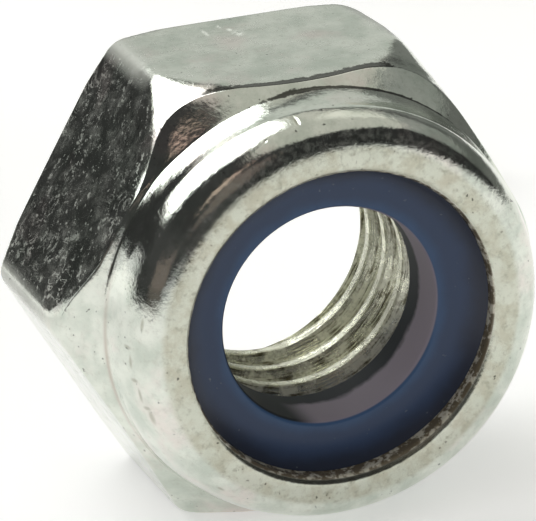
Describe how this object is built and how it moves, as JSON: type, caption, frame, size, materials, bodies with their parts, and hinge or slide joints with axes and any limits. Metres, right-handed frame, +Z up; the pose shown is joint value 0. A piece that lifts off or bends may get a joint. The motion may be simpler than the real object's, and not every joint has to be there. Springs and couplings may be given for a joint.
{
  "type": "nylon insert lock nut",
  "caption": "Steel hexagon lock nut with a rolled-over collar that holds a nylon ring, which grips the screw's thread so that the nut can't shake loose.",
  "frame": {"origin": "on the thread's axis, half way between the bearing face and the top of the rolled lip", "axes": "+Y along the thread towards the bearing face, so the nylon end looks towards -Y; +Z up, square to the flat opposite the one that the nut stands on; X across two corners"},
  "size_m": [0.0148, 0.0082, 0.013],
  "materials": {
    "zinc_plated_steel": "bright zinc plate with a thin clear passivate, mottled and lightly pitted",
    "blue_nylon": "moulded navy blue polyamide with a soft sheen"
  },
  "bodies": {
    "root": {"nut_body": "zinc_plated_steel", "nylon_insert": "blue_nylon"}
  },
  "joints": []
}
